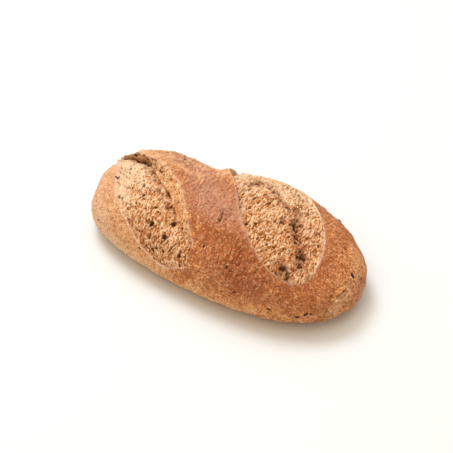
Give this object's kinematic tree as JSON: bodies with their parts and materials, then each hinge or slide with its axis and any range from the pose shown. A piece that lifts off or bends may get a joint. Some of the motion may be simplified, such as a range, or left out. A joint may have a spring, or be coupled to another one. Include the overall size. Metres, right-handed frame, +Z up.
{
  "type": "baguette loaf",
  "caption": "Short plump seeded baguette with rounded ends, diagonal slashes on top that opened in baking, and a flat base to rest on.",
  "frame": {"origin": "middle of the loaf's footprint box, on the surface that it rests on", "axes": "+X along the loaf, +Y across it, +Z up"},
  "size_m": [0.2, 0.0992, 0.0582],
  "materials": {
    "crust": "matt baked crust, paler torn crumb in the slashes, dark seeds"
  },
  "bodies": {
    "root": {"loaf": "crust"}
  },
  "joints": []
}
